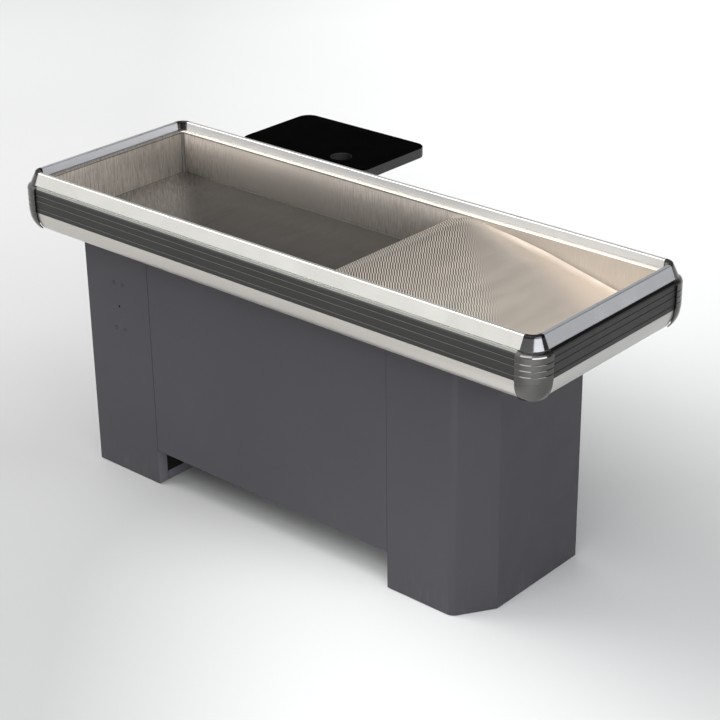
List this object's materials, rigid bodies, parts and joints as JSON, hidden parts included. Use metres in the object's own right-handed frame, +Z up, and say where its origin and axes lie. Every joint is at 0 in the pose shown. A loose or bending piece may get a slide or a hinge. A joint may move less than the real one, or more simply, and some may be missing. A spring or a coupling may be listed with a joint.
{
  "type": "checkout counter",
  "caption": "Checkout counter with two steel pedestals, a bumper-rimmed stainless goods tray with hump and ramp, a swing-out rear shelf, a drawer and a cupboard.",
  "frame": {"origin": "on the floor, under the centre of the whole box of counter and rear shelf, 152.65 mm behind the centre line of the rim", "axes": "+Z up, -Y the customer side, +Y the cashier side, +X the packing end"},
  "size_m": [1.8124, 0.9487, 0.9],
  "materials": {
    "painted_sheet": "graphite powder coat on sheet steel, fine texture, satin",
    "black_sheet": "black powder coat on sheet steel",
    "rim_alloy": "satin anodised extruded profile",
    "cast_key": "as cast",
    "bumper_rubber": "black ribbed insert, satin",
    "cap_plastic": "dark metallic moulding, glossy",
    "stainless": "brushed stainless sheet",
    "shelf_laminate": "black laminate on board, light edge wear",
    "black_plastic": "moulded",
    "nylon": "natural nylon",
    "zinc_steel": "zinc plated",
    "post_steel": "bright turned steel",
    "chrome_trim": "satin chrome"
  },
  "bodies": {
    "counter": {"left_pedestal": "painted_sheet", "right_pedestal": "painted_sheet", "centre_panel": "painted_sheet", "left_base": "painted_sheet", "right_base": "painted_sheet", "left_inner_panel": "black_sheet", "right_inner_panel": "black_sheet", "left_rear_panel": "painted_sheet", "left_cabinet_top": "painted_sheet", "right_cabinet_top": "painted_sheet", "floor_glides": "black_plastic", "panel_rail": "black_sheet", "top_frame": "black_sheet", "rim_brackets": "black_sheet", "frame_bolts": "zinc_steel", "front_rim": "rim_alloy", "rear_rim": "rim_alloy", "left_rim": "rim_alloy", "right_rim": "rim_alloy", "corner_keys": "cast_key", "front_bumper": "bumper_rubber", "rear_bumper": "bumper_rubber", "left_bumper": "bumper_rubber", "right_bumper": "bumper_rubber", "cap_front_left": "cap_plastic", "cap_front_right": "cap_plastic", "cap_rear_left": "cap_plastic", "cap_rear_right": "cap_plastic", "tray_pan": "stainless", "tray_ramp": "stainless", "ramp_ribs": "stainless", "accessory_rivets": "painted_sheet", "post_bracket": "black_sheet", "shelf_post": "post_steel", "pivot_washer": "nylon", "slide_outers": "zinc_steel", "drawer_catch": "painted_sheet", "hinge_pins": "zinc_steel", "cupboard_shelf": "painted_sheet", "shelf_pins": "zinc_steel"},
    "swing_shelf": {"swing_arm": "black_sheet", "rear_shelf": "shelf_laminate", "shelf_screws": "zinc_steel"},
    "drawer": {"slide_inners": "zinc_steel", "drawer_box": "painted_sheet", "drawer_front": "painted_sheet", "drawer_pull": "chrome_trim", "pull_screws": "zinc_steel", "drawer_lock_housing": "chrome_trim"},
    "drawer_lock": {"drawer_lock_plug": "chrome_trim"},
    "door": {"cupboard_door": "painted_sheet", "door_pull": "chrome_trim", "door_pull_screws": "zinc_steel", "door_lock_housing": "chrome_trim"},
    "door_lock": {"door_lock_plug": "chrome_trim"}
  },
  "joints": [
    {"name": "shelf_swing", "type": "hinge", "parent": "counter", "child": "swing_shelf", "pos_m": [-0.631, 0.21035, 0.8], "axis": [0, 0, 1], "range_deg": [0, 90]},
    {"name": "drawer_slide", "type": "slide", "parent": "counter", "child": "drawer", "axis": [0, 1, 0], "range_m": [0, 0.28]},
    {"name": "drawer_lock_turn", "type": "hinge", "parent": "drawer", "child": "drawer_lock", "pos_m": [-0.626, 0.06735, 0.671], "axis": [0, -1, 0], "range_deg": [0, 90]},
    {"name": "door_swing", "type": "hinge", "parent": "counter", "child": "door", "pos_m": [0.6455, 0.06385, 0.366], "axis": [0, 0, -1], "range_deg": [0, 95]},
    {"name": "door_lock_turn", "type": "hinge", "parent": "door", "child": "door_lock", "pos_m": [0.41, 0.06735, 0.56], "axis": [0, 1, 0], "range_deg": [0, 90]}
  ]
}
